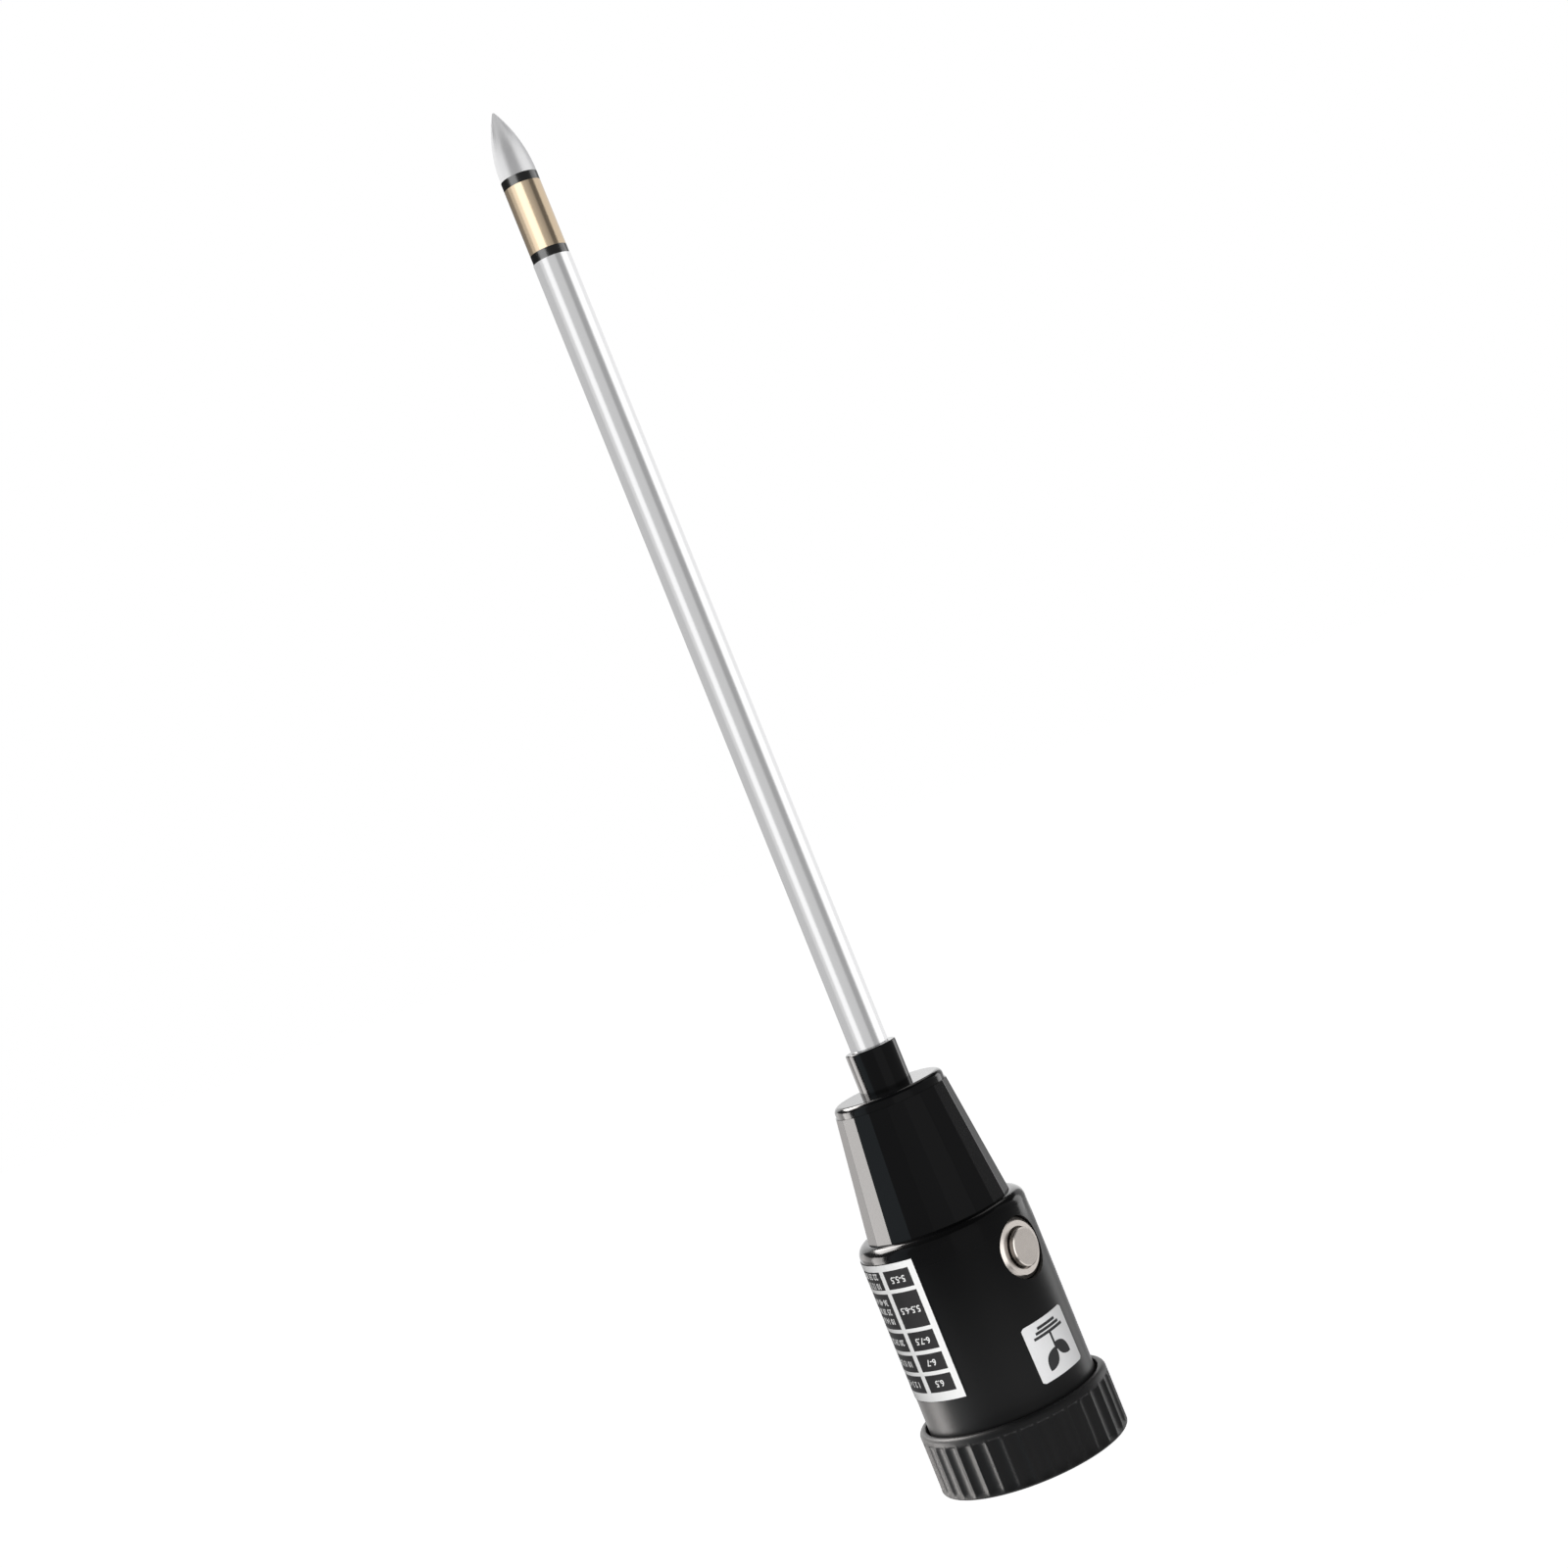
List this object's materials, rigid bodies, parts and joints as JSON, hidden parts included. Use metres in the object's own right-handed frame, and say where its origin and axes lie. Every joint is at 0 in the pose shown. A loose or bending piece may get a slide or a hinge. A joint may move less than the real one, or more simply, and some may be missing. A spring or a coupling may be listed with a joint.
{
  "type": "soil moisture meter",
  "caption": "Hand-held analog soil meter with a fluted dial bezel, tapering black body, side push button and a long probe with a brass electrode and pointed tip.",
  "frame": {"origin": "centre of the bezel's rim, the face that the meter stands on, dial end down", "axes": "+Z along the probe to its tip; the push button is on the +X, -Y side and the top of the dial is towards +Y"},
  "size_m": [0.05, 0.05, 0.3634],
  "materials": {
    "black_bezel": "moulded satin",
    "clear_lens": "clear polished",
    "rubber_seal": "matte",
    "white_plastic": "satin",
    "black_body": "fine satin",
    "black_gloss": "semi-gloss moulded",
    "dark_label": "laminated film",
    "pale_label": "laminated film",
    "brass_small": "machined",
    "steel_small": "machined",
    "rod_steel": "satin drawn",
    "tip_steel": "turned satin",
    "black_insulator": "turned",
    "electrode_brass": "turned satin",
    "button_metal": "circular brushed",
    "white_dial": "matte printed",
    "soft_iron": "zinc plated",
    "magnet": "ground",
    "red_jewel": "polished",
    "bobbin_aluminium": "pressed",
    "copper_wire": "enamelled",
    "pointer_black": "matte",
    "spring_bronze": "bright",
    "green_board": "solder mask",
    "blue_plastic": "moulded",
    "resistor_tan": "lacquered",
    "red_wire": "extruded",
    "black_wire": "extruded"
  },
  "bodies": {
    "housing": {"barrel": "black_body", "brass_electrode": "electrode_brass", "bridge_screws": "steel_small", "button_body": "button_metal", "button_nut": "steel_small", "button_spring": "steel_small", "button_washer": "steel_small", "circuit_board": "green_board", "cone_cap": "black_gloss", "cone_lock_ring": "black_body", "core_magnet": "magnet", "core_supports": "brass_small", "dial_plate": "white_dial", "dial_screws": "steel_small", "electrode_lead": "red_wire", "faceted_cone": "black_gloss", "front_bridge": "brass_small", "hairspring_front": "spring_bronze", "hairspring_rear": "spring_bronze", "insulating_sleeve": "white_plastic", "insulator_lower": "black_insulator", "insulator_upper": "black_insulator", "jewel_bearings": "red_jewel", "meter_terminals": "brass_small", "movement_case": "black_body", "probe_rod": "rod_steel", "probe_tip": "tip_steel", "rear_bridge": "brass_small", "resistors": "resistor_tan", "rod_collar": "black_gloss", "rod_lead": "black_wire", "rod_nut": "steel_small", "rod_plug": "black_insulator", "rod_washer": "brass_small", "spacer_ring": "white_plastic", "square_label": "pale_label", "switch_base": "black_insulator", "switch_contacts": "brass_small", "switch_leads": "red_wire", "table_label": "dark_label", "terminal_nuts": "brass_small", "tip_stud": "steel_small", "trimmer": "blue_plastic", "yoke_ring": "soft_iron"},
    "lens_pack": {"dial_lens": "clear_lens", "lens_gasket": "rubber_seal"},
    "bezel": {"bezel_ring": "black_bezel"},
    "button": {"button_cap": "button_metal", "contact_bridge": "brass_small"},
    "needle": {"pointer": "pointer_black", "balance_weight": "brass_small", "pivot_staffs": "steel_small", "coil_bobbin": "bobbin_aluminium", "coil_winding": "copper_wire"}
  },
  "joints": [
    {"name": "button_press", "type": "slide", "parent": "housing", "child": "button", "axis": [-0.7547, 0.6561, 0], "range_m": [0, 0.0013], "stiffness_N_per_m": 900, "springref_m": -0.0015, "deforming": ["button_spring"]},
    {"name": "pointer_swing", "type": "hinge", "parent": "housing", "child": "needle", "pos_m": [0, -0.006, 0.0125], "axis": [0, 0, 1], "range_deg": [0, 90], "stiffness_Nm_per_rad": 0.00002, "deforming": ["hairspring_front", "hairspring_rear"]},
    {"name": "bezel_advance", "type": "slide", "parent": "housing", "child": "lens_pack", "axis": [0, 0, -1], "range_m": [0, 0.0015]},
    {"name": "bezel_unscrew", "type": "hinge", "parent": "lens_pack", "child": "bezel", "pos_m": [0, 0, 0.008], "axis": [0, 0, -1], "range_deg": [0, 360]}
  ],
  "couplings": [
    {"joint": "bezel_advance", "follows": "bezel_unscrew", "m_per_rad": 0.00023873}
  ]
}
